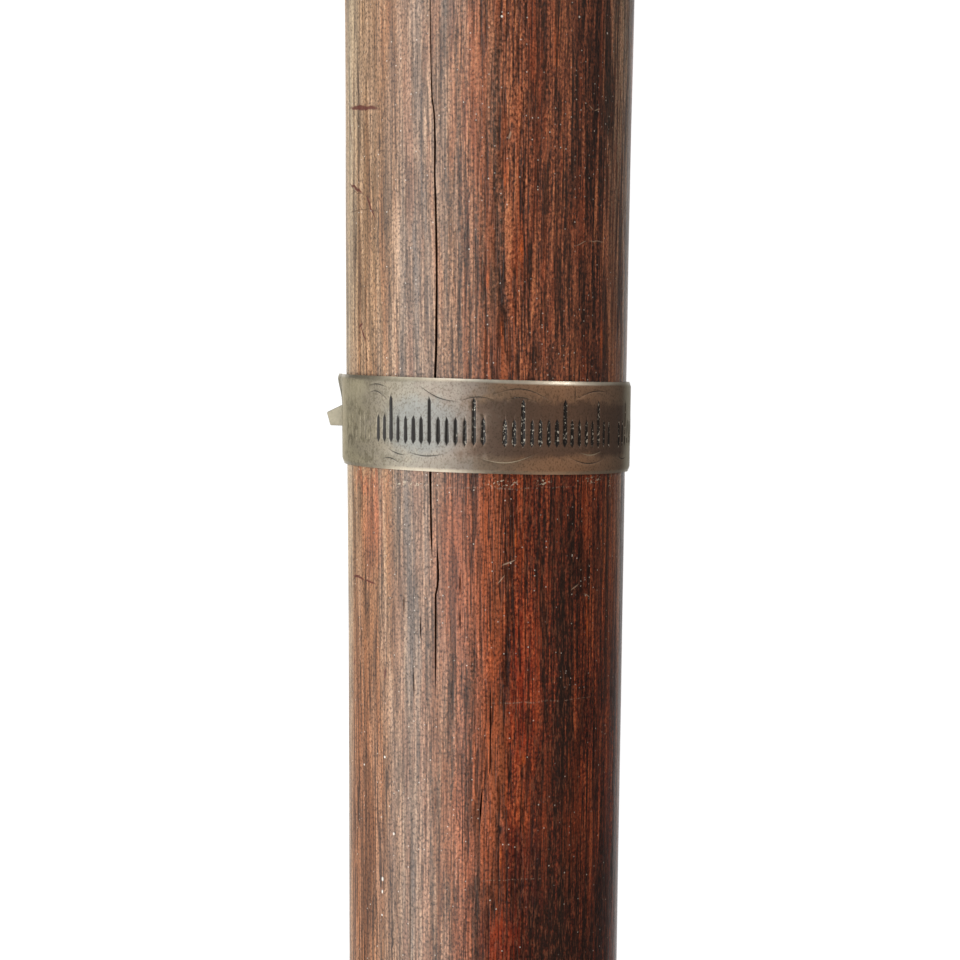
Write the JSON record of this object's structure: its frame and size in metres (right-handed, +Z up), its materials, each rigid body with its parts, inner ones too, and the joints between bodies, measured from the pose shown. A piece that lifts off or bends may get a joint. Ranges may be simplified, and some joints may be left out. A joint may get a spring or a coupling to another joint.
{
  "type": "wooden staff",
  "caption": "Round tapering hardwood staff with a domed head, a long drying crack and an engraved metal strip collar.",
  "frame": {"origin": "under the middle of the staff's length, on the surface it lies on", "axes": "+Y along the staff towards its head, +Z up from the surface it lies on, +X to the right seen from above with the head at the top"},
  "size_m": [0.038, 1.25, 0.037],
  "materials": {
    "shaft_wood": "old oiled dark red-brown hardwood with near-black fibre streaks, worn greyish on one side",
    "collar_silver": "tarnished silver or nickel silver strip, soft satin, darkened in its engraved strokes"
  },
  "bodies": {
    "root": {"shaft": "shaft_wood", "collar": "collar_silver"}
  },
  "joints": []
}
